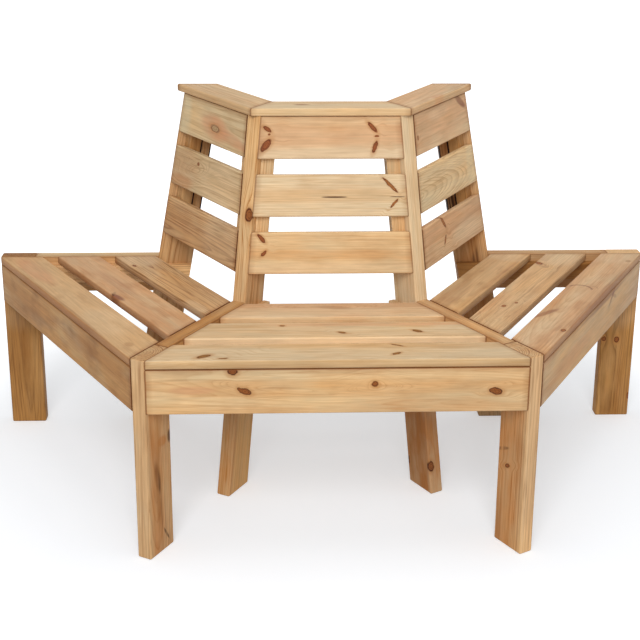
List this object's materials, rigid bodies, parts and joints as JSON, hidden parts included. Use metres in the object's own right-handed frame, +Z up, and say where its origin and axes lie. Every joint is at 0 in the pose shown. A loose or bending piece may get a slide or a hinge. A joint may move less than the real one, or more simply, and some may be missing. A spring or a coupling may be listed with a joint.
{
  "type": "tree bench",
  "caption": "Half-hexagonal slatted timber bench with raked slatted backs, made to stand round a tree trunk.",
  "frame": {"origin": "on the ground, at the middle of the bench's footprint", "axes": "+X along the straight ends of the half ring, to a viewer's right; +Y from the sitter's front towards the tree; +Z up"},
  "size_m": [1.65, 0.74, 0.9],
  "materials": {
    "frame_timber": "planed softwood, clear oil",
    "board_timber": "planed softwood, clear oil",
    "batten_timber": "planed softwood, clear oil",
    "screw_steel": "zinc plated",
    "dowel_timber": "turned hardwood, unfinished"
  },
  "bodies": {
    "root": {"apron_block_centre_by_left": "batten_timber", "apron_block_centre_by_right": "batten_timber", "apron_block_left_by_left": "batten_timber", "apron_block_left_by_left_end": "batten_timber", "apron_block_right_by_right": "batten_timber", "apron_block_right_by_right_end": "batten_timber", "apron_centre": "board_timber", "apron_left": "board_timber", "apron_right": "board_timber", "back_batten_centre_by_left": "batten_timber", "back_batten_centre_by_right": "batten_timber", "back_batten_left_by_left": "batten_timber", "back_batten_left_by_left_end": "batten_timber", "back_batten_right_by_right": "batten_timber", "back_batten_right_by_right_end": "batten_timber", "back_slat_centre_bottom": "board_timber", "back_slat_centre_middle": "board_timber", "back_slat_centre_top": "board_timber", "back_slat_left_bottom": "board_timber", "back_slat_left_middle": "board_timber", "back_slat_left_top": "board_timber", "back_slat_right_bottom": "board_timber", "back_slat_right_middle": "board_timber", "back_slat_right_top": "board_timber", "cap_board_centre": "board_timber", "cap_board_left": "board_timber", "cap_board_right": "board_timber", "dowels": "dowel_timber", "front_leg_left": "frame_timber", "front_leg_left_end": "frame_timber", "front_leg_right": "frame_timber", "front_leg_right_end": "frame_timber", "joint_screws": "screw_steel", "rear_post_left": "frame_timber", "rear_post_left_end": "frame_timber", "rear_post_right": "frame_timber", "rear_post_right_end": "frame_timber", "seat_cleat_centre_by_left": "batten_timber", "seat_cleat_centre_by_right": "batten_timber", "seat_cleat_left_by_left": "batten_timber", "seat_cleat_left_by_left_end": "batten_timber", "seat_cleat_right_by_right": "batten_timber", "seat_cleat_right_by_right_end": "batten_timber", "seat_rail_left": "frame_timber", "seat_rail_left_end": "frame_timber", "seat_rail_right": "frame_timber", "seat_rail_right_end": "frame_timber", "seat_slat_centre_front": "board_timber", "seat_slat_centre_middle": "board_timber", "seat_slat_centre_rear": "board_timber", "seat_slat_left_front": "board_timber", "seat_slat_left_middle": "board_timber", "seat_slat_left_rear": "board_timber", "seat_slat_right_front": "board_timber", "seat_slat_right_middle": "board_timber", "seat_slat_right_rear": "board_timber", "slat_screws": "screw_steel"}
  },
  "joints": []
}
